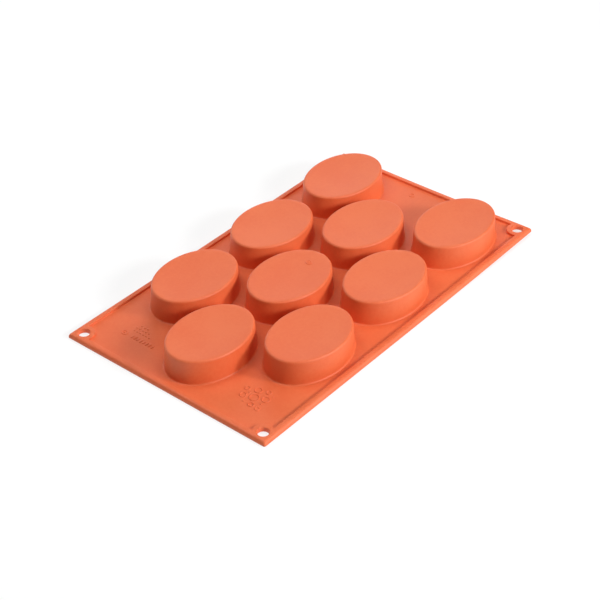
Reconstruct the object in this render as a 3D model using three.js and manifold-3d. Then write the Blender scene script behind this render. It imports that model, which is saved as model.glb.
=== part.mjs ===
// A silicone soap mould lying mouth down: a flat sheet with a raised rim, nine oval cups
// in three staggered columns, and a ringed hole in each corner. Millimetres, +Z up.
// The origin is the middle of the sheet on the fill face, so the cups stand up from it.
// +X runs along the sheet's long side and +Y across its short side.

import * as THREE from 'three';
import { mergeVertices } from 'three/addons/utils/BufferGeometryUtils.js';
import Module from 'manifold-3d';

const wasm = await Module();
wasm.setup();

// Sheet
const SHEET_LENGTH = 300;
const SHEET_WIDTH = 175;
const WEB_THICKNESS = 1.6;
const CORNER_RADIUS = 3;
const GAP = 0.3; // clearance between neighbouring pieces

// Rim bead
const RIM_WIDTH = 5.2;
const RIM_HEIGHT = 3.4;
const RIM_ROUND = 1.6; // width and height of the bead's rounded edges
const RIM_ROUND_STEPS = 2;

// Corner holes
const HOLE_INSET = 7.8; // hole centre to either sheet edge
const HOLE_RADIUS = 4;
const HOLE_CHAMFER = 0.6; // at the hole's upper edge
const BOSS_RADIUS = 7.8;
const CORNER_REACH = 17.5; // how far a corner piece runs along both edges

// Cups
const CUP_PITCH = 82.4; // along a column
const COLUMN_PITCH = 51.3; // from one column to the next
const CUP_HEIGHT = 20;
const CUP_BASE = new THREE.Vector2(36.5, 26.2); // half axes where the cup meets the sheet
const CUP_TOP = new THREE.Vector2(34.9, 25.3); // half axes at full height
const WALL = 2.2;
const EDGE_ROUND = 1.3; // rounding between the wall and the floor
const MOUTH_ROUND = 0.5; // chamfer at the mouth
const FLOOR_THICKNESS = 2;
const FLOOR_DISH = 1.2; // the floor's middle lies this much below its edge
const OVAL_SEGMENTS = 32;

const SILICONE = { color: 0xee7a4d, roughness: 0.62, metalness: 0 };

/** Deletes what only rendering needs and joins the vertices that lie on each other. */
function weld(geometry) {
  geometry.deleteAttribute('normal');
  geometry.deleteAttribute('uv');
  return mergeVertices(geometry, 1e-4);
}

/** Makes a manifold solid of a closed geometry. */
function toSolid(geometry) {
  const welded = weld(geometry);
  return new wasm.Manifold(new wasm.Mesh({
    numProp: 3,
    vertProperties: new Float32Array(welded.attributes.position.array),
    triVerts: new Uint32Array(welded.index.array),
  }));
}

/** Makes a geometry of a manifold solid. */
function toGeometry(solid) {
  const mesh = solid.getMesh();
  const geometry = new THREE.BufferGeometry();
  geometry.setAttribute('position', new THREE.BufferAttribute(mesh.vertProperties, 3));
  geometry.setIndex(new THREE.BufferAttribute(mesh.triVerts, 1));
  return geometry;
}

/** Names a mesh and gives it its own silicone material. */
function piece(name, geometry) {
  const mesh = new THREE.Mesh(geometry, new THREE.MeshStandardMaterial(SILICONE));
  mesh.name = name;
  geometry.computeVertexNormals();
  return mesh;
}

/** Half axes of the cup's outer wall at a height above the fill face. */
function cupAxes(height) {
  const rise = (height - WEB_THICKNESS) / (CUP_HEIGHT - WEB_THICKNESS);
  return CUP_BASE.clone().lerp(CUP_TOP, Math.max(0, rise));
}

/** Turns a profile of [inset from the outer wall, height] points into an oval ring. */
function ovalRing(profile) {
  const turnRadius = CUP_BASE.y;
  const points = profile.map(([inset, height]) => new THREE.Vector2(turnRadius - inset, height));
  const geometry = new THREE.LatheGeometry([...points, points[0].clone()], OVAL_SEGMENTS);
  geometry.rotateX(Math.PI / 2);
  const position = geometry.attributes.position;
  for (let i = 0; i < position.count; i += 1) {
    const radius = Math.hypot(position.getX(i), position.getY(i));
    const inset = turnRadius - radius;
    const axes = cupAxes(position.getZ(i));
    position.setX(i, position.getX(i) / radius * (axes.x - inset));
    position.setY(i, position.getY(i) / radius * (axes.y - inset));
  }
  return weld(geometry);
}

/** A cup's side wall, open at the mouth and round the floor. */
function cupWall() {
  const bend = new THREE.EllipseCurve(
    EDGE_ROUND, CUP_HEIGHT - EDGE_ROUND, EDGE_ROUND, EDGE_ROUND, Math.PI, Math.PI / 2, true);
  const profile = [
    [0, 0],
    ...bend.getPoints(2).map((point) => [point.x, point.y]),
    [WALL, CUP_HEIGHT],
    [WALL, MOUTH_ROUND],
    [WALL - MOUTH_ROUND, 0],
  ];
  return ovalRing(profile);
}

/** A cup's dished floor, which fits inside the top of its wall. */
function cupFloor() {
  const axes = cupAxes(CUP_HEIGHT).addScalar(-WALL - GAP);
  const middleTop = CUP_HEIGHT - FLOOR_DISH;
  const profile = [
    new THREE.Vector2(0, middleTop - FLOOR_THICKNESS),
    new THREE.Vector2(0.6, middleTop - FLOOR_THICKNESS + 0.36 * FLOOR_DISH),
    new THREE.Vector2(1, CUP_HEIGHT - FLOOR_THICKNESS),
    new THREE.Vector2(1, CUP_HEIGHT),
    new THREE.Vector2(0.6, middleTop + 0.36 * FLOOR_DISH),
    new THREE.Vector2(0, middleTop),
  ];
  const geometry = new THREE.LatheGeometry(profile, OVAL_SEGMENTS);
  geometry.rotateX(Math.PI / 2);
  geometry.scale(axes.x, axes.y, 1);
  return weld(geometry);
}

/** Outline of the corner piece, with the sheet's corner at the origin and both edges positive. */
function cornerOutline(reach) {
  const start = Math.asin((RIM_WIDTH - HOLE_INSET) / BOSS_RADIUS);
  const outline = new THREE.Shape();
  outline.moveTo(reach, 0);
  outline.lineTo(reach, RIM_WIDTH);
  outline.absarc(HOLE_INSET, HOLE_INSET, BOSS_RADIUS, start, Math.PI / 2 - start, false);
  outline.lineTo(RIM_WIDTH, reach);
  outline.lineTo(0, reach);
  outline.lineTo(0, CORNER_RADIUS);
  outline.absarc(CORNER_RADIUS, CORNER_RADIUS, CORNER_RADIUS, Math.PI, 1.5 * Math.PI, false);
  return outline;
}

/** A corner of the rim with its round boss and hole, in the corner's own quarter. */
function cornerEyelet() {
  const blank = new THREE.ExtrudeGeometry(cornerOutline(CORNER_REACH + 2 * RIM_ROUND), {
    depth: 2 * (RIM_HEIGHT - RIM_ROUND),
    bevelThickness: RIM_ROUND,
    bevelSize: RIM_ROUND,
    bevelOffset: -RIM_ROUND,
    bevelSegments: RIM_ROUND_STEPS,
    curveSegments: 8,
  });
  blank.translate(0, 0, RIM_ROUND - RIM_HEIGHT);
  const keep = new THREE.BoxGeometry(CORNER_REACH + 1, CORNER_REACH + 1, RIM_HEIGHT + 1);
  keep.translate((CORNER_REACH - 1) / 2, (CORNER_REACH - 1) / 2, (RIM_HEIGHT + 1) / 2);
  const bore = new THREE.LatheGeometry([
    new THREE.Vector2(0, -1),
    new THREE.Vector2(HOLE_RADIUS, -1),
    new THREE.Vector2(HOLE_RADIUS, RIM_HEIGHT - HOLE_CHAMFER),
    new THREE.Vector2(HOLE_RADIUS + HOLE_CHAMFER, RIM_HEIGHT),
    new THREE.Vector2(HOLE_RADIUS + HOLE_CHAMFER, RIM_HEIGHT + 1),
    new THREE.Vector2(0, RIM_HEIGHT + 1),
  ], 24);
  bore.rotateX(Math.PI / 2);
  bore.translate(HOLE_INSET, HOLE_INSET, 0);
  return toGeometry(toSolid(blank).intersect(toSolid(keep)).subtract(toSolid(bore)));
}

/** A straight stretch of the rim bead, its outer foot on the Y = 0 line, centred on X = 0. */
function rimRail(length) {
  const top = RIM_HEIGHT - RIM_ROUND;
  const profile = new THREE.Shape();
  profile.moveTo(0, 0);
  profile.lineTo(RIM_WIDTH, 0);
  profile.lineTo(RIM_WIDTH, top);
  profile.absarc(RIM_WIDTH - RIM_ROUND, top, RIM_ROUND, 0, Math.PI / 2, false);
  profile.absarc(RIM_ROUND, top, RIM_ROUND, Math.PI / 2, Math.PI, false);
  const geometry = new THREE.ExtrudeGeometry(profile, {
    depth: length, bevelEnabled: false, curveSegments: RIM_ROUND_STEPS,
  });
  geometry.translate(0, 0, -length / 2);
  // The profile's X becomes +Y, its Y becomes +Z and the length lies along X.
  geometry.applyMatrix4(new THREE.Matrix4().makeBasis(
    new THREE.Vector3(0, 1, 0), new THREE.Vector3(0, 0, 1), new THREE.Vector3(1, 0, 0)));
  return weld(geometry);
}

/** The flat sheet inside the rim, with an oval opening for each cup. */
function web(cupCentres) {
  const halfLength = SHEET_LENGTH / 2;
  const halfWidth = SHEET_WIDTH / 2;
  const edge = RIM_WIDTH + GAP;
  const radius = BOSS_RADIUS + GAP;
  const start = Math.asin((edge - HOLE_INSET) / radius);
  const bossX = halfLength - HOLE_INSET;
  const bossY = halfWidth - HOLE_INSET;
  const outline = new THREE.Shape();
  // Each corner of the outline goes round the inside of a boss, from -X -Y anticlockwise.
  outline.absarc(-bossX, -bossY, radius, Math.PI / 2 - start, start, true);
  outline.absarc(bossX, -bossY, radius, Math.PI - start, Math.PI / 2 + start, true);
  outline.absarc(bossX, bossY, radius, 1.5 * Math.PI - start, Math.PI + start, true);
  outline.absarc(-bossX, bossY, radius, -start, start - Math.PI / 2, true);
  outline.closePath();
  for (const centre of cupCentres) {
    const opening = new THREE.Path();
    opening.absellipse(
      centre.x, centre.y, CUP_BASE.x + GAP, CUP_BASE.y + GAP, 0, 2 * Math.PI, true, 0);
    outline.holes.push(opening);
  }
  return weld(new THREE.ExtrudeGeometry(outline, {
    depth: WEB_THICKNESS, bevelEnabled: false, curveSegments: OVAL_SEGMENTS / 2,
  }));
}

/** Centres of the nine cups, column by column from -Y to +Y and along +X in each column. */
function cupCentres() {
  const centres = [];
  for (const column of [-1, 0, 1]) {
    const stagger = (column === 0 ? -1 : 1) * CUP_PITCH / 4;
    for (const step of [-1, 0, 1]) {
      centres.push(new THREE.Vector2(stagger + step * CUP_PITCH, column * COLUMN_PITCH));
    }
  }
  return centres;
}

/** Puts the four rim rails and the four corner pieces round the sheet. */
function rim() {
  const group = new THREE.Group();
  const rails = [
    ['rim_rail_near', SHEET_LENGTH, SHEET_WIDTH / 2, 0],
    ['rim_rail_right', SHEET_WIDTH, SHEET_LENGTH / 2, Math.PI / 2],
    ['rim_rail_far', SHEET_LENGTH, SHEET_WIDTH / 2, Math.PI],
    ['rim_rail_left', SHEET_WIDTH, SHEET_LENGTH / 2, 1.5 * Math.PI],
  ];
  for (const [name, side, distance, turn] of rails) {
    const geometry = rimRail(side - 2 * (CORNER_REACH + GAP));
    geometry.translate(0, -distance, 0);
    const rail = piece(name, geometry);
    rail.rotation.z = turn;
    group.add(rail);
  }
  const corners = [
    ['corner_eyelet_near_left', -1, -1],
    ['corner_eyelet_near_right', 1, -1],
    ['corner_eyelet_far_right', 1, 1],
    ['corner_eyelet_far_left', -1, 1],
  ];
  corners.forEach(([name, sideX, sideY], index) => {
    const corner = piece(name, cornerEyelet());
    corner.rotation.z = index * Math.PI / 2;
    corner.position.set(sideX * SHEET_LENGTH / 2, sideY * SHEET_WIDTH / 2, 0);
    group.add(corner);
  });
  return group;
}

/** One cup: its wall and its floor, numbered from 1. */
function cup(centre, number) {
  const group = new THREE.Group();
  group.position.set(centre.x, centre.y, 0);
  group.add(piece(`cup_wall_${number}`, cupWall()));
  group.add(piece(`cup_floor_${number}`, cupFloor()));
  return group;
}

const group = new THREE.Group();
const centres = cupCentres();
group.add(piece('web_sheet', web(centres)));
group.add(rim());
centres.forEach((centre, index) => group.add(cup(centre, index + 1)));

export default group;
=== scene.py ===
"""Looks of a silicone soap mould that lies mouth down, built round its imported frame.

The mould is one soft moulding. Here its rim bead, its web and each of its cups are a piece of
their own, cut so that the surface runs on from piece to piece without a step. Everything is in
metres, in the frame's own axes: X along the sheet, Y across it and Z up through the cup floors.
"""

import logging
import math
from collections.abc import Callable, Iterator, Sequence
from contextlib import contextmanager
from dataclasses import dataclass
from enum import Enum
from typing import ClassVar, NamedTuple

import bmesh
import bpy
from mathutils import Euler, Matrix, Vector


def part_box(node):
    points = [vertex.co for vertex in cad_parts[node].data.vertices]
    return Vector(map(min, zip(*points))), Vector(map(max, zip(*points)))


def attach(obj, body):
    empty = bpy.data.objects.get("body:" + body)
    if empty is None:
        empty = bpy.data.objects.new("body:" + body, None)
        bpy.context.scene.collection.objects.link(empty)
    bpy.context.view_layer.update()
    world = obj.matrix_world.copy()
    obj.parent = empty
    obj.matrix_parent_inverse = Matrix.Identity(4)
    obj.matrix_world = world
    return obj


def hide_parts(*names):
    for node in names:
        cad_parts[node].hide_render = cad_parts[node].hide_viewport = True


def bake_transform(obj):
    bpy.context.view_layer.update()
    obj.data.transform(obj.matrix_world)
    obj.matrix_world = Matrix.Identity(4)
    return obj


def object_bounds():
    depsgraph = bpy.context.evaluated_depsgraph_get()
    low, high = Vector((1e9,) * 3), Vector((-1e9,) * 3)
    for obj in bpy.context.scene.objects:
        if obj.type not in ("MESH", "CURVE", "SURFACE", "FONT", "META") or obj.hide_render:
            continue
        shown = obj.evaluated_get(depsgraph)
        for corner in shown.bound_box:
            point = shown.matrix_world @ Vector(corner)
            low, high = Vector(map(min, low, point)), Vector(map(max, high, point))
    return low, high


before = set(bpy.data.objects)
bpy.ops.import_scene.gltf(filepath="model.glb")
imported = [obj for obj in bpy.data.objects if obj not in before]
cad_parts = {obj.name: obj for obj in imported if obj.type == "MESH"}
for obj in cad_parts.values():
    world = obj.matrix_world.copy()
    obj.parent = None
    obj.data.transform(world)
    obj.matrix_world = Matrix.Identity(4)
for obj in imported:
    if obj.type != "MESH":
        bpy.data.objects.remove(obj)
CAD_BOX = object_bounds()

log = logging.getLogger("soap_mould")

MM = 0.001
SHEET_BODY = "mould_sheet"
CUP_COUNT = 9
NEAR = 0.02 * MM  # two places closer than this are the same place
DOUBLED = 0.002 * MM  # two vertices closer than this are joined
FLAT = 0.9  # a face is level where the upright part of its normal passes this


# ---------------------------------------------------------------------------------------------
# Working on a mesh by hand
# ---------------------------------------------------------------------------------------------


def only(piece: bpy.types.Object) -> None:
    """Makes one piece the only selected and the active one.

    Args:
        piece: the piece.
    """
    bpy.ops.object.select_all(action="DESELECT")
    piece.select_set(True)
    bpy.context.view_layer.objects.active = piece


def settle(piece: bpy.types.Object) -> None:
    """Puts a piece's place, turn and size into its mesh."""
    only(piece)
    bpy.ops.object.transform_apply(location=True, rotation=True, scale=True)


@contextmanager
def editing(piece: bpy.types.Object, mode: str = "VERT") -> Iterator[None]:
    """Opens a piece in edit mode with nothing selected, and closes it again.

    Args:
        piece: the piece to edit.
        mode: what is picked, VERT, EDGE or FACE.

    Yields:
        Once, with the piece open.
    """
    only(piece)
    bpy.ops.object.mode_set(mode="EDIT")
    bpy.ops.mesh.select_mode(type=mode)
    bpy.ops.mesh.select_all(action="DESELECT")
    try:
        yield
    finally:
        bpy.ops.object.mode_set(mode="OBJECT")


def pick_edges(test: Callable[[Vector], bool]) -> None:
    """Selects, in edit mode, the edges whose two ends and middle all pass a test.

    Args:
        test: takes a place and says whether it counts.
    """
    mesh = bpy.context.edit_object.data
    work = bmesh.from_edit_mesh(mesh)
    for edge in work.edges:
        first, second = (vertex.co for vertex in edge.verts)
        edge.select_set(all(test(place) for place in (first, second, (first + second) / 2)))
    bmesh.update_edit_mesh(mesh)


def pick_faces(test: Callable[[Vector, Vector], bool]) -> None:
    """Selects, in edit mode, the faces that pass a test.

    Args:
        test: takes a face's middle and its normal and says whether it counts.
    """
    mesh = bpy.context.edit_object.data
    work = bmesh.from_edit_mesh(mesh)
    for face in work.faces:
        face.select_set(test(face.calc_center_median(), face.normal))
    bmesh.update_edit_mesh(mesh)


def add_block(name: str, low: Vector, high: Vector) -> bpy.types.Object:
    """Adds a box between two corners.

    Args:
        name: what the box is called.
        low: its lowest corner.
        high: its highest corner.

    Returns:
        The box, with its place in its mesh.
    """
    bpy.ops.mesh.primitive_cube_add(size=1, location=(low + high) / 2)
    block = bpy.context.object
    block.name = name
    block.scale = high - low
    settle(block)
    return block


def add_oval_tube(
    name: str,
    centre: Vector,
    half_axes: Vector,
    low: float,
    high: float,
    sides: int,
    closed: bool,
) -> bpy.types.Object:
    """Adds an upright oval cylinder.

    Args:
        name: what the cylinder is called.
        centre: its axis; only X and Y count.
        half_axes: half its length along X and half its width along Y.
        low: height of its lower end.
        high: height of its upper end.
        sides: how many sides it has.
        closed: whether its ends are filled.

    Returns:
        The cylinder, with its place in its mesh.
    """
    bpy.ops.mesh.primitive_cylinder_add(
        vertices=sides,
        radius=1,
        depth=high - low,
        end_fill_type="NGON" if closed else "NOTHING",
        location=(centre.x, centre.y, (low + high) / 2),
    )
    tube = bpy.context.object
    tube.name = name
    tube.scale = (half_axes.x, half_axes.y, 1)
    settle(tube)
    return tube


def join(tools: list[bpy.types.Object]) -> bpy.types.Object:
    """Joins separate solids into one object.

    Args:
        tools: the solids; the first one takes in the others.

    Returns:
        The first one.
    """
    only(tools[0])
    for tool in tools[1:]:
        tool.select_set(True)
    bpy.ops.object.join()
    return tools[0]


def cut(piece: bpy.types.Object, tool: bpy.types.Object) -> None:
    """Cuts a tool out of a piece, and takes the tool away.

    Args:
        piece: the piece that is cut.
        tool: the solid that is cut out of it.
    """
    only(piece)
    bpy.ops.object.modifier_add(type="BOOLEAN")
    modifier = piece.modifiers[-1]
    modifier.operation = "DIFFERENCE"
    modifier.solver = "EXACT"
    modifier.object = tool
    bpy.ops.object.modifier_apply(modifier=modifier.name)
    bpy.data.objects.remove(tool)


def cut_grid(piece: bpy.types.Object, low: Vector, high: Vector, pitch: float) -> None:
    """Adds edges along a square grid, so that a flat piece can bend.

    Args:
        piece: the piece to divide.
        low: the lowest corner of the grid.
        high: the highest corner of the grid.
        pitch: how far apart its lines are at most.
    """
    with editing(piece):
        for axis, normal in ((0, (1, 0, 0)), (1, (0, 1, 0))):
            count = math.ceil((high[axis] - low[axis]) / pitch)
            for index in range(1, count):
                place = Vector(normal) * (low[axis] + (high[axis] - low[axis]) * index / count)
                bpy.ops.mesh.select_all(action="SELECT")
                bpy.ops.mesh.bisect(plane_co=place, plane_no=normal)


def finish_mesh(piece: bpy.types.Object, crease_degrees: float) -> None:
    """Joins doubled vertices, triangulates broad faces and smooths everything under a crease.

    Args:
        piece: the piece to finish.
        crease_degrees: an edge that bends more than this stays sharp.
    """
    with editing(piece):
        bpy.ops.mesh.select_all(action="SELECT")
        bpy.ops.mesh.remove_doubles(threshold=DOUBLED)
    only(piece)
    bpy.ops.object.modifier_add(type="TRIANGULATE")
    modifier = piece.modifiers[-1]
    modifier.min_vertices = 5
    bpy.ops.object.modifier_apply(modifier=modifier.name)
    bpy.ops.object.shade_smooth_by_angle(angle=math.radians(crease_degrees))


# ---------------------------------------------------------------------------------------------
# Finishes
# ---------------------------------------------------------------------------------------------


class Value:
    """A number socket of a shader that takes part in sums written in Python."""

    def __init__(self, shader: "Shader", socket: bpy.types.NodeSocket) -> None:
        """Wraps one output socket of a shader's node.

        Args:
            shader: the shader that the node belongs to.
            socket: the output socket.
        """
        self.shader = shader
        self.socket = socket

    def _sum(self, operation: str, first: object, second: object) -> "Value":
        """Adds one Math node.

        Args:
            operation: the Math node's operation.
            first: the first number or socket.
            second: the second number or socket.

        Returns:
            The node's result.
        """
        return self.shader.node(
            "ShaderNodeMath", {"operation": operation}, {0: first, 1: second})

    def __add__(self, other: object) -> "Value":
        """Returns this plus other."""
        return self._sum("ADD", self, other)

    def __radd__(self, other: object) -> "Value":
        """Returns other plus this."""
        return self._sum("ADD", other, self)

    def __sub__(self, other: object) -> "Value":
        """Returns this minus other."""
        return self._sum("SUBTRACT", self, other)

    def __mul__(self, other: object) -> "Value":
        """Returns this times other."""
        return self._sum("MULTIPLY", self, other)


class Pattern(NamedTuple):
    """One scale of unevenness in a finish."""

    waves: float  # to the metre
    layers: float  # how many finer layers are added
    roughness: float  # how strong the finer layers are


class Shader:
    """The node tree of one material."""

    def __init__(self, name: str) -> None:
        """Starts a material that holds only a Principled surface.

        Args:
            name: what the material is called.
        """
        self.material = bpy.data.materials.new(name)
        self.material.use_nodes = True
        self.tree = self.material.node_tree
        self.surface = self.tree.nodes["Principled BSDF"]

    def node(
        self,
        kind: str,
        settings: dict[str, object] | None = None,
        sockets: dict[int | str, object] | None = None,
        output: int | str = 0,
    ) -> Value:
        """Adds any node.

        Args:
            kind: the node's type.
            settings: the node's own properties, set before its sockets.
            sockets: a number, a colour or a Value for each input named or numbered.
            output: the output that is handed back.

        Returns:
            The chosen output.
        """
        made = self.tree.nodes.new(kind)
        for key, setting in (settings or {}).items():
            setattr(made, key, setting)
        for key, entry in (sockets or {}).items():
            self.feed(made.inputs[key], entry)
        return Value(self, made.outputs[output])

    def feed(self, socket: bpy.types.NodeSocket, entry: object) -> None:
        """Links a Value to an input socket, or sets the socket to a constant.

        Args:
            socket: the input socket.
            entry: the Value or the constant.
        """
        if isinstance(entry, Value):
            self.tree.links.new(entry.socket, socket)
        else:
            socket.default_value = entry

    def mix(self, factor: Value, first: object, second: object) -> Value:
        """Mixes two colours.

        Args:
            factor: 0 for the first colour and 1 for the second.
            first: a colour or a Value.
            second: a colour or a Value.

        Returns:
            The mixed colour.
        """
        return self.node(
            "ShaderNodeMix", {"data_type": "RGBA"}, {"Factor": factor, 6: first, 7: second}, 2)

    def noise(self, pattern: Pattern) -> Value:
        """Adds noise in the piece's own metres.

        Args:
            pattern: how coarse and how rough the noise is.

        Returns:
            The noise, from 0 to 1.
        """
        place = self.node("ShaderNodeTexCoord", output="Object")
        return self.node("ShaderNodeTexNoise", None, {
            "Vector": place, "Scale": pattern.waves, "Detail": pattern.layers,
            "Roughness": pattern.roughness}, "Fac")

    def share(self, entry: Value, low: float, high: float) -> Value:
        """Maps a stretch of values smoothly onto 0 to 1, and holds it at the ends.

        Args:
            entry: the value that is mapped.
            low: what becomes 0.
            high: what becomes 1.

        Returns:
            The mapped value.
        """
        return self.node("ShaderNodeMapRange", {"interpolation_type": "SMOOTHSTEP"}, {
            "Value": entry, "From Min": low, "From Max": high, "To Min": 0.0, "To Max": 1.0})


@dataclass(frozen=True)
class Silicone:
    """Coloured silicone rubber with the finish that one half of the tool leaves on it."""

    name: str
    body: tuple[float, float, float, float] = (0.728, 0.125, 0.036, 1.0)
    bloom: tuple[float, float, float, float] = (0.757, 0.151, 0.048, 1.0)
    cloud: Pattern = Pattern(28.0, 3.0, 0.55)
    mottle: Pattern = Pattern(420.0, 4.0, 0.6)
    grain: Pattern = Pattern(2600.0, 3.0, 0.65)
    cloud_share: float = 0.6  # of the tone; the mottle has the rest
    tone_low: float = 0.35  # below this the tone is the body's
    tone_high: float = 0.65  # above this it is the bloom's
    roughness: float = 0.52
    mottle_roughness: float = 0.16
    cloud_roughness: float = 0.10
    grain_depth: float = 0.030 * MM
    pore_depth: float = 0.02 * MM
    sheen: float = 0.03
    sheen_roughness: float = 0.45
    sheen_tint: tuple[float, float, float, float] = (1.0, 0.62, 0.5, 1.0)
    specular: float = 0.65
    refraction: float = 1.41

    def material(self) -> bpy.types.Material:
        """Builds the finish's material.

        Returns:
            The material, ready to assign.
        """
        shader = Shader(self.name)
        inputs = shader.surface.inputs
        cloud = shader.noise(self.cloud)
        mottle = shader.noise(self.mottle)
        grain = shader.noise(self.grain)
        blend = cloud * self.cloud_share + mottle * (1 - self.cloud_share)
        tone = shader.share(blend, self.tone_low, self.tone_high)
        shader.feed(inputs["Base Color"], shader.mix(tone, self.body, self.bloom))
        shader.feed(
            inputs["Roughness"],
            self.roughness + (mottle - 0.5) * self.mottle_roughness
            + (cloud - 0.5) * self.cloud_roughness)
        relief = grain * self.grain_depth + mottle * self.pore_depth
        normal = shader.node(
            "ShaderNodeBump", None, {"Strength": 1.0, "Distance": 1.0, "Height": relief}, "Normal")
        shader.feed(inputs["Normal"], normal)
        inputs["Sheen Weight"].default_value = self.sheen
        inputs["Sheen Roughness"].default_value = self.sheen_roughness
        inputs["Sheen Tint"].default_value = self.sheen_tint
        inputs["IOR"].default_value = self.refraction
        inputs["Specular IOR Level"].default_value = self.specular
        return shader.material


# ---------------------------------------------------------------------------------------------
# Rim and web
# ---------------------------------------------------------------------------------------------


class Step(NamedTuple):
    """One step of a face that moves out of its solid while it shrinks."""

    inward: float
    rise: float


def quarter_steps(inward: float, rise: float, count: int) -> list[Step]:
    """Works out the steps of a rounded edge that starts upright and ends flat.

    Args:
        inward: how far the edge goes inward in all.
        rise: how far it rises in all.
        count: how many steps it takes.

    Returns:
        The steps, in order.
    """
    turns = [math.pi / 2 * index / count for index in range(count + 1)]
    return [
        Step(inward * (math.cos(turn) - math.cos(following)),
             rise * (math.sin(following) - math.sin(turn)))
        for turn, following in zip(turns, turns[1:])]


def inset_steps(steps: Sequence[Step]) -> None:
    """Moves the selected faces, in edit mode.

    Args:
        steps: the steps to take, in order.
    """
    for step in steps:
        bpy.ops.mesh.inset(thickness=step.inward, depth=step.rise)


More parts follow.
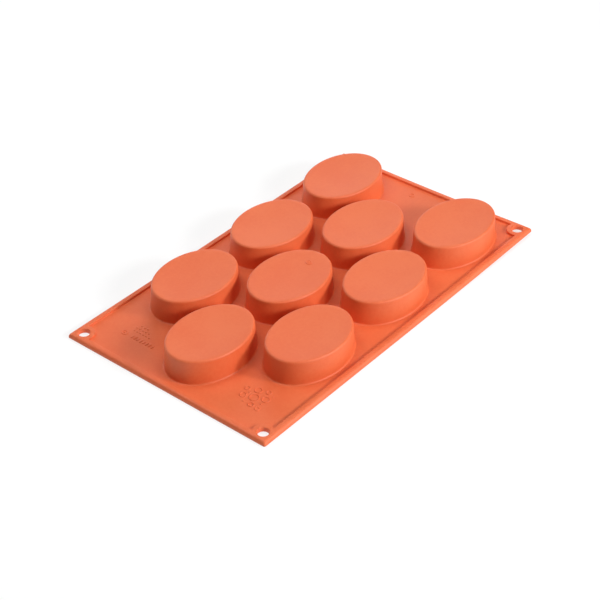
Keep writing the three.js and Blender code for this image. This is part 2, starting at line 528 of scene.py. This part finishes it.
@dataclass
class Sheet:
    """The flat web with the rim bead and the corner rings round it."""

    low: Vector
    high: Vector
    web: float
    rim: float
    hole_inset: float = 7.8 * MM
    hole_radius: float = 4.0 * MM
    hole_round: float = 0.4 * MM
    hole_sides: int = 64
    hole_steps: int = 4  # of the rounding at each end of a hole
    ring_radius: float = 7.7 * MM
    rim_width: float = 4.8 * MM  # from the sheet's edge to the inner edge of the bead's top
    ring_sides: int = 96
    corner_radius: float = 1.1 * MM
    corner_segments: int = 8
    lip: float = 0.3 * MM  # rounding of the lower outer edge
    lip_steps: int = 3
    base: float = 0.7 * MM  # height at which the outer face starts to lean in
    shoulder: float = 2.2 * MM  # width of the rounded outer face
    shoulder_steps: int = 7
    inner_round: float = 0.22 * MM
    foot_round: float = 0.25 * MM
    inner_segments: int = 5  # of both these roundings
    seam_inset: float = 1.2 * MM  # from the bead's foot to the seam with the web
    grid: float = 12.0 * MM
    crease: float = 38.0

    def corners(self) -> list[Vector]:
        """Finds the four corner holes.

        Returns:
            The holes' middles, at the level of the table.
        """
        return [
            Vector((
                x_end + side_x * self.hole_inset, y_end + side_y * self.hole_inset, 0))
            for x_end, side_x in ((self.low.x, 1), (self.high.x, -1))
            for y_end, side_y in ((self.low.y, 1), (self.high.y, -1))
        ]

    def inset(self, place: Vector) -> float:
        """Measures how far a place is from the nearest edge of the sheet.

        Args:
            place: the place; only X and Y count.

        Returns:
            The distance, positive inside the sheet.
        """
        return min(
            place.x - self.low.x, self.high.x - place.x,
            place.y - self.low.y, self.high.y - place.y)

    def field(
        self, name: str, inward: float, ring: float, low: float, high: float
    ) -> bpy.types.Object:
        """Makes the solid inside the rim, with its corners hollowed round the corner holes.

        Args:
            name: what the solid is called.
            inward: how far it stays from the sheet's edges.
            ring: how far it stays from the middles of the corner holes.
            low: its lower height.
            high: its upper height.

        Returns:
            The solid, with upright sides.
        """
        block = add_block(
            name,
            Vector((self.low.x + inward, self.low.y + inward, low)),
            Vector((self.high.x - inward, self.high.y - inward, high)))
        radius = Vector((ring, ring))
        cut(block, join([
            add_oval_tube("ring_tool", corner, radius, low - MM, high + MM, self.ring_sides, True)
            for corner in self.corners()]))
        return block

    def blank(self) -> bpy.types.Object:
        """Makes the full-size sheet with its rounded outer face, before anything is cut out.

        Returns:
            The sheet, as high as the bead all over.
        """
        block = add_block(
            "rim_bead",
            Vector((self.low.x, self.low.y, self.lip)),
            Vector((self.high.x, self.high.y, self.base)))
        with editing(block, "FACE"):
            pick_faces(lambda middle, normal: normal.z > FLAT)
            inset_steps(quarter_steps(self.shoulder, self.rim - self.base, self.shoulder_steps))
            bpy.ops.mesh.select_all(action="DESELECT")
            pick_faces(lambda middle, normal: normal.z < -FLAT)
            inset_steps(quarter_steps(self.lip, self.lip, self.lip_steps))
        with editing(block, "EDGE"):
            pick_edges(self.on_mitre)
            bpy.ops.mesh.bevel(
                offset=self.corner_radius, segments=self.corner_segments, affect="EDGES",
                loop_slide=False)
        return block

    def on_mitre(self, place: Vector) -> bool:
        """Says whether a place of the uncut sheet is on one of its slanting corner edges.

        Args:
            place: the place.

        Returns:
            Whether it is as far in along X as along Y.
        """
        across = min(place.x - self.low.x, self.high.x - place.x)
        along = min(place.y - self.low.y, self.high.y - place.y)
        return abs(across - along) < NEAR

    def drill(self, corner: Vector) -> bpy.types.Object:
        """Makes the tool for one corner hole, which rounds both ends of the hole.

        Args:
            corner: the middle of the hole.

        Returns:
            The tool, wider above and below the bead.
        """
        above = self.hole_round
        under = self.hole_round / 2
        low, high = under, self.rim - above
        tool = add_oval_tube(
            "drill", corner, Vector((self.hole_radius, self.hole_radius)), low, high,
            self.hole_sides, True)
        with editing(tool, "FACE"):
            for side, end, room in ((1, high, above), (-1, low, under)):
                pick_faces(lambda middle, normal: abs(middle.z - end) < NEAR)
                radius = self.hole_radius
                for step in reversed(quarter_steps(room, room, self.hole_steps)):
                    bpy.ops.mesh.extrude_region_move(
                        TRANSFORM_OT_translate={"value": (0, 0, side * step.rise)})
                    share = (radius + step.inward) / radius
                    bpy.ops.transform.resize(value=(share, share, 1), center_override=corner)
                    radius += step.inward
                bpy.ops.mesh.extrude_region_move(
                    TRANSFORM_OT_translate={"value": (0, 0, side * self.rim)})
        return tool

    def build_rim(self) -> bpy.types.Object:
        """Models the rim bead with its corner rings and holes.

        Returns:
            The bead, which ends on the flat of the web just inside its foot.
        """
        bead = self.blank()
        cut(bead, self.field("pocket_tool", self.rim_width, self.ring_radius, self.web, 2 * self.rim))
        for height, size in ((self.rim, self.inner_round), (self.web, self.foot_round)):
            with editing(bead, "EDGE"):
                pick_edges(
                    lambda place: self.inset(place) > self.rim_width - NEAR
                    and abs(place.z - height) < NEAR)
                bpy.ops.mesh.bevel(
                    offset=size, segments=self.inner_segments, affect="EDGES", loop_slide=False)
        cut(bead, self.core("core_tool", -MM, 2 * self.rim))
        cut(bead, join([self.drill(corner) for corner in self.corners()]))
        cut_grid(bead, self.low, self.high, self.grid)
        finish_mesh(bead, self.crease)
        return bead

    def core(self, name: str, low: float, high: float) -> bpy.types.Object:
        """Makes the upright solid inside the seam between the bead's strip and the web.

        Args:
            name: what the solid is called.
            low: its lower height.
            high: its upper height.

        Returns:
            The solid.
        """
        return self.field(
            name, self.rim_width + self.seam_inset, self.ring_radius + self.seam_inset, low, high)

    def build_web(self, openings: list[tuple[Vector, Vector]]) -> bpy.types.Object:
        """Models the flat web between the cups.

        Args:
            openings: the centre and half axes of each oval opening.

        Returns:
            The web, whose edges meet the bead and the cups.
        """
        web = self.core("web_skin", 0.0, self.web)
        cut(web, join([
            add_oval_tube("opening_tool", centre, half_axes, -MM, self.rim, Cup.sides, True)
            for centre, half_axes in openings]))
        cut_grid(web, self.low, self.high, self.grid)
        finish_mesh(web, self.crease)
        return web


# ---------------------------------------------------------------------------------------------
# Cups
# ---------------------------------------------------------------------------------------------


class Ring(NamedTuple):
    """One oval line round a cup."""

    half_x: float
    half_y: float
    height: float


@dataclass
class Cup:
    """One oval cup: its wall, its dished floor and the strip of web round its foot."""

    centre: Vector
    base: Vector  # half axes of the outer wall where it meets the web
    top: Vector  # half axes of the outer wall at full height
    web: float
    height: float
    wall: float = 2.0 * MM
    floor: float = 2.0 * MM
    dish: float = 1.1 * MM  # how far the floor's middle sinks
    inner_dish: float = 1.1 * MM / 3  # the same on the fill side
    foot_round: float = 1.0 * MM
    edge_round: float = 1.4 * MM
    mouth_round: float = 0.6 * MM
    corner_round: float = 1.2 * MM  # inside, between wall and floor
    strip: float = 1.6 * MM  # of web round the foot
    foot_steps: int = 5
    edge_steps: int = 7
    mouth_steps: int = 4
    corner_steps: int = 5
    wall_rings: int = 14
    floor_rings: int = 12
    crease: float = 38.0
    sides: ClassVar[int] = 160

    def seam(self) -> Vector:
        """Returns the half axes of the line where the cup's strip meets the web."""
        return self.base + Vector((self.strip, self.strip))

    def axes(self, height: float) -> Vector:
        """Measures the outer wall at a height.

        Args:
            height: the height.

        Returns:
            Its half axes.
        """
        rise = (height - self.web) / (self.height - self.web)
        return self.base.lerp(self.top, rise)

    def ring(self, height: float, outward: float) -> Ring:
        """Draws a line that runs a set distance outside the outer wall.

        Args:
            height: the line's height.
            outward: the distance.

        Returns:
            The line.
        """
        axes = self.axes(height)
        return Ring(axes.x + outward, axes.y + outward, height)

    def arc(
        self, middle: tuple[float, float], radius: float, start: float, end: float, steps: int
    ) -> list[Ring]:
        """Draws the lines of a rounded edge.

        Args:
            middle: the arc's middle, as distance outside the outer wall and height.
            radius: the arc's radius.
            start: its first angle in degrees, from outward towards up.
            end: its last angle.
            steps: how many steps it takes.

        Returns:
            One line for each step and one more.
        """
        rings = []
        for index in range(steps + 1):
            angle = math.radians(start + (end - start) * index / steps)
            rings.append(self.ring(
                middle[1] + radius * math.sin(angle), middle[0] + radius * math.cos(angle)))
        return rings

    def wall_lines(self, start: float, end: float, outward: float) -> list[Ring]:
        """Spaces lines evenly up or down a wall.

        Args:
            start: height of the wall's first end.
            end: height of its last end.
            outward: how far the lines stand outside the outer wall.

        Returns:
            The lines, without the two ends.
        """
        return [
            self.ring(start + (end - start) * index / self.wall_rings, outward)
            for index in range(1, self.wall_rings)]

    def floor_lines(self, edge: Ring, sink: float) -> list[Ring]:
        """Draws the lines across a floor that sinks towards its middle.

        Args:
            edge: the line round the floor.
            sink: how far the middle lies below the edge.

        Returns:
            The lines, from the edge inward.
        """
        lines = []
        for index in range(1, self.floor_rings):
            share = 1 - index / self.floor_rings
            lines.append(Ring(
                edge.half_x * share, edge.half_y * share, edge.height - sink * (1 - share ** 2)))
        return lines

    def outer_lines(self) -> list[Ring]:
        """Draws the outside, from the seam over the foot, wall and edge to the floor's middle.

        Returns:
            The lines, in order.
        """
        foot = self.foot_round
        edge = self.edge_round
        rings = self.arc((foot, self.web + foot), foot, 270, 180, self.foot_steps)
        rings += self.wall_lines(self.web + foot, self.height - edge, 0)
        rings += self.arc((-edge, self.height - edge), edge, 0, 90, self.edge_steps)
        return rings + self.floor_lines(rings[-1], self.dish)

    def inner_lines(self) -> list[Ring]:
        """Draws the fill side, from the seam to the middle of the cavity's floor.

        Returns:
            The lines, in order.
        """
        mouth = self.mouth_round
        corner = self.corner_round
        ceiling = self.height - self.floor
        rings = self.arc((mouth - self.wall, mouth), mouth, 270, 180, self.mouth_steps)
        rings += self.wall_lines(mouth, ceiling - corner, -self.wall)
        middle = (-self.wall - corner, ceiling - corner)
        rings += self.arc(middle, corner, 0, 90, self.corner_steps)
        return rings + self.floor_lines(rings[-1], self.inner_dish)

    def draw(self, rings: list[Ring], start: Ring) -> None:
        """Extrudes the selected line through a run of rings and closes it at the middle.

        Args:
            rings: the lines to pass through.
            start: the line that is selected now.
        """
        here = start
        pivot = (self.centre.x, self.centre.y, 0)
        for ring in rings:
            bpy.ops.mesh.extrude_region_move(
                TRANSFORM_OT_translate={"value": (0, 0, ring.height - here.height)})
            bpy.ops.transform.resize(
                value=(ring.half_x / here.half_x, ring.half_y / here.half_y, 1),
                center_override=pivot)
            here = ring
        bpy.ops.mesh.extrude_region_move(TRANSFORM_OT_translate={"value": (0, 0, 0)})
        bpy.ops.mesh.merge(type="CENTER")

    def build(self, name: str) -> bpy.types.Object:
        """Models the cup as one closed shell.

        Args:
            name: what the cup is called.

        Returns:
            The cup, with its place in its mesh.
        """
        seam = self.seam()
        shell = add_oval_tube(name, self.centre, seam, 0.0, self.web, self.sides, False)
        with editing(shell, "EDGE"):
            pick_edges(lambda place: abs(place.z - self.web) < NEAR)
            self.draw(self.outer_lines(), Ring(seam.x, seam.y, self.web))
            bpy.ops.mesh.select_all(action="DESELECT")
            pick_edges(lambda place: abs(place.z) < NEAR)
            self.draw(self.inner_lines(), Ring(seam.x, seam.y, 0.0))
            bpy.ops.mesh.select_all(action="SELECT")
            bpy.ops.mesh.normals_make_consistent(inside=False)
        finish_mesh(shell, self.crease)
        return shell


# ---------------------------------------------------------------------------------------------
# Curl
# ---------------------------------------------------------------------------------------------


class Pull(NamedTuple):
    """How far one upright pair of a lattice's points is pulled."""

    column: int  # along X
    row: int  # along Y
    shift: tuple[float, float, float]


@dataclass
class Curl:
    """The lasting curl of the sheet, whose far right corner stands a little off the table."""

    low: Vector
    high: Vector
    columns: int = 5
    rows: int = 4
    layers: int = 2
    pulls: tuple[Pull, ...] = (
        Pull(4, 0, (2.8 * MM, -0.3 * MM, 3.2 * MM)),
        Pull(4, 1, (1.6 * MM, 0.0, 0.8 * MM)),
        Pull(4, 2, (1.0 * MM, 0.0, 0.2 * MM)),
        Pull(4, 3, (0.6 * MM, 0.5 * MM, 0.0)),
        Pull(3, 0, (0.6 * MM, 0.0, 0.2 * MM)),
        Pull(3, 3, (0.0, 0.4 * MM, 0.0)),
        Pull(2, 3, (0.0, 0.4 * MM, 0.0)),
        Pull(1, 3, (0.0, 0.6 * MM, 0.0)),
        Pull(0, 3, (-0.2 * MM, 1.3 * MM, 0.2 * MM)),
    )

    def __post_init__(self) -> None:
        """Adds the lattice round the sheet and pulls its points."""
        bpy.ops.object.add(type="LATTICE", location=(self.low + self.high) / 2)
        self.cage = bpy.context.object
        self.cage.scale = self.high - self.low
        shape = self.cage.data
        shape.points_u, shape.points_v, shape.points_w = self.columns, self.rows, self.layers
        for pull in self.pulls:
            for layer in range(self.layers):
                point = shape.points[(layer * self.rows + pull.row) * self.columns + pull.column]
                point.co_deform = point.co_deform + Vector(
                    part / size for part, size in zip(pull.shift, self.cage.scale))

    def bend(self, piece: bpy.types.Object) -> None:
        """Bends a piece with the sheet.

        Args:
            piece: the piece, with its place in its mesh.
        """
        only(piece)
        bpy.ops.object.modifier_add(type="LATTICE")
        modifier = piece.modifiers[-1]
        modifier.object = self.cage
        bpy.ops.object.modifier_apply(modifier=modifier.name)

    def remove(self) -> None:
        """Takes the lattice away."""
        bpy.data.objects.remove(self.cage)


# ---------------------------------------------------------------------------------------------
# Raised marks
# ---------------------------------------------------------------------------------------------


class Shape(Enum):
    """The plain shapes that stand a hair above the web and one cup."""

    RING = "ring"
    DOT = "dot"
    BAR = "bar"


class Mark(NamedTuple):
    """One raised mark."""

    shape: Shape
    x: float
    y: float
    size: float  # radius of a ring or dot, half the length of a bar


@dataclass
class Relief:
    """A group of raised marks on one flat surface."""

    level: float  # height of the surface
    line: float = 0.4 * MM  # half the width of a ring's or bar's line
    rise: float = 0.34 * MM
    bar_round: float = 0.6  # of the rise
    bar_steps: int = 3
    ring_sides: int = 40
    dot_sides: int = 20
    line_sides: int = 12  # round a ring's line, and from pole to pole of a dot
    crease: float = 50.0

    def ring(self, mark: Mark) -> None:
        """Adds a flattened ring, half sunk into the surface.

        Args:
            mark: where it goes and its radius.
        """
        bpy.ops.mesh.primitive_torus_add(
            major_radius=mark.size, minor_radius=self.line, major_segments=self.ring_sides,
            minor_segments=self.line_sides, location=(mark.x, mark.y, self.level))
        bpy.context.object.scale.z = self.rise / self.line

    def dot(self, mark: Mark) -> None:
        """Adds a flattened ball, half sunk into the surface.

        Args:
            mark: where it goes and its radius.
        """
        bpy.ops.mesh.primitive_uv_sphere_add(
            radius=mark.size, segments=self.dot_sides, ring_count=self.line_sides,
            location=(mark.x, mark.y, self.level))
        bpy.context.object.scale.z = self.rise / mark.size

    def bar(self, mark: Mark) -> None:
        """Adds a bar along X with a rounded top, half sunk into the surface.

        Args:
            mark: where it goes and half its length.
        """
        half = Vector((mark.size, self.line, self.rise))
        centre = Vector((mark.x, mark.y, self.level))
        block = add_block("bar", centre - half, centre + half)
        with editing(block, "EDGE"):
            pick_edges(lambda place: place.z > self.level)
            bpy.ops.mesh.bevel(
                offset=self.bar_round * self.rise, segments=self.bar_steps, affect="EDGES")

    def build(self, name: str, marks: list[Mark]) -> bpy.types.Object:
        """Models a group of marks.

        Args:
            name: what the group is called.
            marks: the marks in it.

        Returns:
            The marks as one object, with its place in its mesh.
        """
        makers = {Shape.RING: self.ring, Shape.DOT: self.dot, Shape.BAR: self.bar}
        made = []
        for mark in marks:
            makers[mark.shape](mark)
            made.append(bpy.context.object)
            settle(made[-1])
        group = join(made)
        group.name = name
        bpy.ops.object.shade_smooth_by_angle(angle=math.radians(self.crease))
        return group

    @staticmethod
    def tally(
        x: float, y: float, count: int, pitch: float, shape: Shape, size: float
    ) -> list[Mark]:
        """Sets out a row of equal marks.

        Args:
            x: the row's place along the sheet.
            y: the first mark's place across the sheet; the others follow towards -Y.
            count: how many marks there are.
            pitch: the distance from one to the next.
            shape: their shape.
            size: their size.

        Returns:
            The marks, in order.
        """
        return [Mark(shape, x, y - index * pitch, size) for index in range(count)]

    @staticmethod
    def bubbles(x: float, y: float) -> list[Mark]:
        """Sets out a loose group of rings and dots, like soap bubbles.

        Args:
            x: the group's place along the sheet.
            y: its place across the sheet.

        Returns:
            The marks.
        """
        rings = (
            (0.0, 0.0, 3.2), (7.2, 2.4, 2.5), (-2.4, 7.4, 2.2), (3.0, -7.4, 2.6), (-6.6, -3.0, 1.9),
            (9.6, -4.6, 1.7), (4.6, 9.6, 1.8), (-7.4, -9.0, 1.6))
        dots = ((2.2, 5.6, 0.9), (-7.0, 3.2, 0.8), (-2.2, -7.6, 0.9), (8.4, -9.6, 0.8))
        return [
            Mark(shape, x + right * MM, y + up * MM, size * MM)
            for shape, group in ((Shape.RING, rings), (Shape.DOT, dots))
            for right, up, size in group]


# ---------------------------------------------------------------------------------------------
# Studio
# ---------------------------------------------------------------------------------------------


@dataclass(frozen=True)
class Camera:
    """The camera, aimed at a point on the floor near the middle of the sheet."""

    azimuth: float = -50.06
    elevation: float = 36.97
    roll: float = -0.49
    distance: float = 1.1494
    target: tuple[float, float, float] = (-0.01786, -0.00674, 0.0)
    lens: float = 98.57
    sensor: float = 36.0
    reach: float = 50.0

    def place(self) -> None:
        """Adds the camera and makes it the scene's own."""
        turn = Euler((
            math.radians(90 - self.elevation), 0, math.radians(self.azimuth))).to_matrix().to_4x4()
        turn = turn @ Matrix.Rotation(math.radians(self.roll), 4, "Z")
        spot = Vector(self.target) + turn.to_3x3() @ Vector((0, 0, self.distance))
        bpy.ops.object.camera_add(location=spot, rotation=turn.to_euler())
        camera = bpy.context.object
        camera.name = "studio_camera"
        camera.data.lens = self.lens
        camera.data.sensor_width = self.sensor
        camera.data.clip_end = self.reach
        bpy.context.scene.camera = camera


@dataclass(frozen=True)
class Softbox:
    """One square soft light, aimed at the mould."""

    name: str
    azimuth: float
    elevation: float
    size: float
    power: float
    distance: float = 1.6

    def place(self) -> None:
        """Adds the light."""
        around = math.radians(self.azimuth)
        up = math.radians(self.elevation)
        back = Vector((
            math.sin(around) * math.cos(up), -math.cos(around) * math.cos(up), math.sin(up)))
        bpy.ops.object.light_add(
            type="AREA", location=back * self.distance,
            rotation=back.to_track_quat("Z", "Y").to_euler())
        light = bpy.context.object
        light.name = self.name
        light.data.size = self.size
        light.data.energy = self.power


@dataclass(frozen=True)
class Studio:
    """The pale floor, the soft lights and the dim room round them."""

    floor_size: float = 12.0
    floor_drop: float = 0.02 * MM  # below the mould's own lowest level
    floor_colour: tuple[float, float, float, float] = (0.28, 0.28, 0.28, 1.0)
    floor_roughness: float = 0.9
    floor_glow: float = 0.70  # the floor is a lit table
    room: tuple[float, float, float, float] = (1.0, 1.0, 1.0, 1.0)
    room_strength: float = 0.005
    lights: tuple[Softbox, ...] = (
        Softbox("key_softbox", 18.0, 26.0, 0.3, 14.5),
        Softbox("front_softbox", -5.0, 25.0, 0.4, 7.7),
        Softbox("right_low_softbox", 40.0, 18.0, 0.5, 2.1),
        Softbox("side_high_softbox", 85.0, 66.0, 0.8, 5.0),
        Softbox("left_high_softbox", -140.0, 66.0, 0.8, 9.3),
        Softbox("back_low_softbox", 130.0, 18.0, 0.8, 5.0),
        Softbox("far_low_softbox", 175.0, 18.0, 0.8, 6.0),
        Softbox("top_softbox", 0.0, 88.0, 0.8, 3.5),
    )

    def place(self) -> None:
        """Adds the floor, the lights and the room."""
        bpy.ops.mesh.primitive_plane_add(size=self.floor_size, location=(0, 0, -self.floor_drop))
        floor = bpy.context.object
        floor.name = "studio_floor"
        settle(floor)
        shader = Shader("pale_floor")
        for socket, setting in (
            ("Base Color", self.floor_colour),
            ("Roughness", self.floor_roughness),
            ("Emission Color", self.room),
            ("Emission Strength", self.floor_glow),
        ):
            shader.surface.inputs[socket].default_value = setting
        floor.data.materials.append(shader.material)
        for light in self.lights:
            light.place()
        world = bpy.data.worlds.new("studio_room")
        world.use_nodes = True
        background = world.node_tree.nodes["Background"]
        background.inputs["Color"].default_value = self.room
        background.inputs["Strength"].default_value = self.room_strength
        bpy.context.scene.world = world
        bpy.context.scene.view_settings.view_transform = "Standard"


# ---------------------------------------------------------------------------------------------
# Whole mould
# ---------------------------------------------------------------------------------------------


@dataclass
class Mould:
    """The whole mould, measured from the frame."""

    wall_gap: float = 2.5 * MM  # from a cup's outer wall to its floor in the frame
    marked_cup: int = 5  # the middle one
    cup_mark_place: float = 20.8 * MM  # from that cup's centre, along X
    downward: float = 0.01  # a face belongs to the fill side where its normal dips by this

    def __post_init__(self) -> None:
        """Reads the sizes that the frame gives, and makes the two finishes."""
        self.matt = Silicone("silicone_outside").material()
        self.polished = Silicone(
            "silicone_fill_side", roughness=0.36, grain_depth=0.010 * MM, pore_depth=0.008 * MM,
        ).material()
        low, high = (Vector(corner) for corner in CAD_BOX)
        self.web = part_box("web_sheet")[1].z
        self.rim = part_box("rim_rail_near")[1].z
        self.height = high.z
        self.sheet = Sheet(low, high, self.web, self.rim)
        self.curl = Curl(low, high)

    def cup(self, number: int) -> Cup:
        """Reads the sizes of one cup from its wall and floor in the frame.

        Args:
            number: the cup's number, from 1.

        Returns:
            The cup, ready to build.
        """
        low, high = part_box(f"cup_wall_{number}")
        floor_low, floor_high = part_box(f"cup_floor_{number}")
        centre = (low + high) / 2
        base = ((high - low) / 2).xy
        top = ((floor_high - floor_low) / 2).xy + Vector((self.wall_gap, self.wall_gap))
        return Cup(Vector((centre.x, centre.y, 0)), base, top, self.web, self.height)

    def build(self) -> None:
        """Models every piece and dresses it, and fastens the sheet's pieces and the marks to their
        bodies.
        """
        cups = [self.cup(number) for number in range(1, CUP_COUNT + 1)]
        self.build_sheet(cups)
        self.build_cups(cups)
        self.build_marks(cups[self.marked_cup - 1])
        self.curl.remove()

    def build_sheet(self, cups: list[Cup]) -> None:
        """Builds the rim bead and the web round the cups.

        Args:
            cups: the cups that the web leaves openings for.
        """
        bead = self.sheet.build_rim()
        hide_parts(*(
            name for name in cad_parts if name.startswith(("rim_rail", "corner_eyelet"))))
        web = self.sheet.build_web([(cup.centre, cup.seam()) for cup in cups])
        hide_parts("web_sheet")
        for piece in (bead, web):
            self.curl.bend(piece)
            self.dress(piece)
            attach(piece, SHEET_BODY)
            self.report(piece)

    def build_cups(self, cups: list[Cup]) -> None:
        """Builds one cup, copies it to every place and bends each copy with the sheet.

        Args:
            cups: the cups, in the order of their numbers.
        """
        first = cups[0].build("cup_master")
        self.dress(first)
        for number, cup in enumerate(cups, 1):
            skin = self.copy(first, number, cup.centre - cups[0].centre)
            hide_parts(f"cup_wall_{number}", f"cup_floor_{number}")
            self.curl.bend(skin)
            cup.height - cup.floor
            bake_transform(skin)
            self.report(skin)
        bpy.data.objects.remove(first)

    def build_marks(self, marked_cup: Cup) -> None:
        """Builds the raised marks on the web and on the middle cup.

        Args:
            marked_cup: the cup that carries a mark.
        """
        web_marks = [
            *Relief.bubbles(-119.0 * MM, -52.0 * MM),
            Mark(Shape.RING, -123.0 * MM, 60.5 * MM, 2.0 * MM),
            Mark(Shape.DOT, -123.0 * MM, 60.5 * MM, 0.6 * MM),
            *Relief.tally(-123.0 * MM, 53.0 * MM, 8, 2.6 * MM, Shape.BAR, 1.6 * MM),
            *Relief.tally(-117.0 * MM, 57.0 * MM, 6, 2.7 * MM, Shape.DOT, 0.8 * MM),
            *Relief.tally(-113.8 * MM, 57.5 * MM, 5, 2.7 * MM, Shape.DOT, 0.8 * MM),
            *Relief.tally(-110.6 * MM, 56.0 * MM, 3, 2.7 * MM, Shape.DOT, 0.8 * MM),
            Mark(Shape.RING, 135.0 * MM, 10.0 * MM, 1.9 * MM),
        ]
        across = marked_cup.centre.x + self.cup_mark_place
        sink = marked_cup.dish * (1 - (self.cup_mark_place / marked_cup.top.x) ** 2)
        cup_marks = [
            Mark(Shape.RING, across, 0.0, 2.0 * MM),
            Mark(Shape.BAR, across, 0.0, 0.9 * MM),
        ]
        for name, level, marks, body in (
            ("web_marks", self.web, web_marks, SHEET_BODY),
            ("cup_mark", self.height - sink, cup_marks, f"floor_{self.marked_cup}"),
        ):
            group = Relief(level).build(name, marks)
            self.curl.bend(group)
            group.data.materials.append(self.matt)
            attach(group, body)
            self.report(group)

    def copy(self, first: bpy.types.Object, number: int, shift: Vector) -> bpy.types.Object:
        """Copies the modelled cup to its place, with a mesh of its own.

        Args:
            first: the modelled cup, which stands at the first cup's place.
            number: the copy's number.
            shift: from the first cup's middle to the copy's.

        Returns:
            The copy, with its place in its mesh.
        """
        only(first)
        bpy.ops.object.duplicate(linked=False)
        skin = bpy.context.object
        skin.name = f"cup_skin_{number}"
        skin.location = shift
        settle(skin)
        return skin

    def dress(self, piece: bpy.types.Object) -> None:
        """Gives a piece the matt finish on its outside and the polished one on its fill side.

        Args:
            piece: the piece to dress.
        """
        for finish in (self.matt, self.polished):
            piece.data.materials.append(finish)
        with editing(piece, "FACE"):
            pick_faces(lambda middle, normal: normal.z < -self.downward)
            piece.active_material_index = 1
            bpy.ops.object.material_slot_assign()

    def report(self, piece: bpy.types.Object) -> None:
        """Logs a piece's name and how many faces it has."""
        log.info("%s: %d faces", piece.name, len(piece.data.polygons))


def main() -> None:
    """Builds the mould, then the studio round it."""
    logging.basicConfig(level=logging.INFO, format="%(name)s: %(message)s")
    Camera().place()
    Mould().build()
    Studio().place()


if __name__ == "__main__":
    main()
